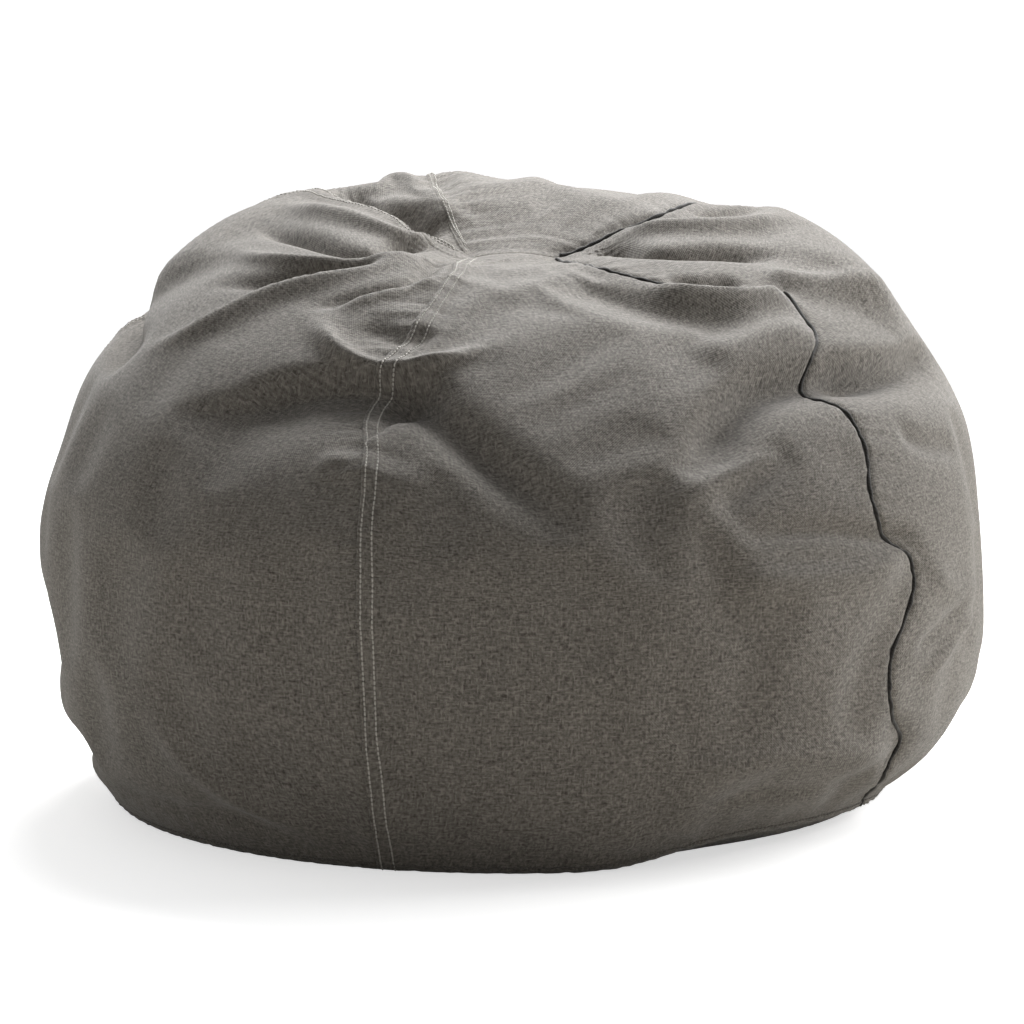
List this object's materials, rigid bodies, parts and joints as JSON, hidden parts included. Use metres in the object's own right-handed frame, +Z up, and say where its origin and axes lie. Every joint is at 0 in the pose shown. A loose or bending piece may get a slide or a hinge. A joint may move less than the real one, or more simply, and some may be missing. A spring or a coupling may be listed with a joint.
{
  "type": "bean bag chair",
  "caption": "Round floor bean bag chair: gored grey canvas cover with felled and piped seams, inner liner, bead filling and zips in the base.",
  "frame": {"origin": "on the floor, under the middle of the bag", "axes": "+Z up from the floor to the crown where the gores meet; -Y is the front; the zips run along X"},
  "size_m": [0.9328, 0.9306, 0.6041],
  "materials": {
    "canvas": "washed slubby cotton canvas",
    "piping": "dark woven cord",
    "thread": "twisted sewing thread",
    "label": "plain woven satin tape",
    "zip_tape": "herringbone tape",
    "zip_coil": "nylon coil",
    "zip_metal": "plated die casting",
    "liner_cloth": "plain light lining cloth",
    "beads": "expanded polystyrene beads"
  },
  "bodies": {
    "root": {"cover_gore_front": "canvas", "cover_gore_right": "canvas", "cover_gore_rear": "canvas", "cover_gore_rear_left": "canvas", "cover_gore_front_left": "canvas", "cover_base_front": "canvas", "cover_base_rear": "canvas", "piping_front_right": "piping", "piping_rear_right": "piping", "topstitch_front_left": "thread", "topstitch_rear": "thread", "topstitch_left": "thread", "base_seam_stitch": "thread", "care_label": "label", "cover_zip_tape_front": "zip_tape", "cover_zip_coil_front": "zip_coil", "cover_zip_tape_rear": "zip_tape", "cover_zip_coil_rear": "zip_coil", "cover_zip_stops": "zip_metal", "liner_zip_tape_front": "liner_cloth", "liner_zip_coil_front": "zip_coil", "liner_zip_tape_rear": "liner_cloth", "liner_zip_coil_rear": "zip_coil", "liner_zip_stops": "zip_metal", "liner_gore_front": "liner_cloth", "liner_gore_right": "liner_cloth", "liner_gore_rear": "liner_cloth", "liner_gore_rear_left": "liner_cloth", "liner_gore_front_left": "liner_cloth", "liner_base_front": "liner_cloth", "liner_base_rear": "liner_cloth", "bead_fill": "beads"},
    "cover_slider": {"cover_zip_slider": "zip_metal", "cover_zip_slider_crown": "zip_metal"},
    "liner_slider": {"liner_zip_slider": "zip_metal", "liner_zip_slider_crown": "zip_metal"}
  },
  "joints": [
    {"name": "cover_zip_slide", "type": "slide", "parent": "root", "child": "cover_slider", "axis": [1, 0, 0], "range_m": [-0.474, 0]},
    {"name": "liner_zip_slide", "type": "slide", "parent": "root", "child": "liner_slider", "axis": [1, 0, 0], "range_m": [-0.374, 0]}
  ]
}
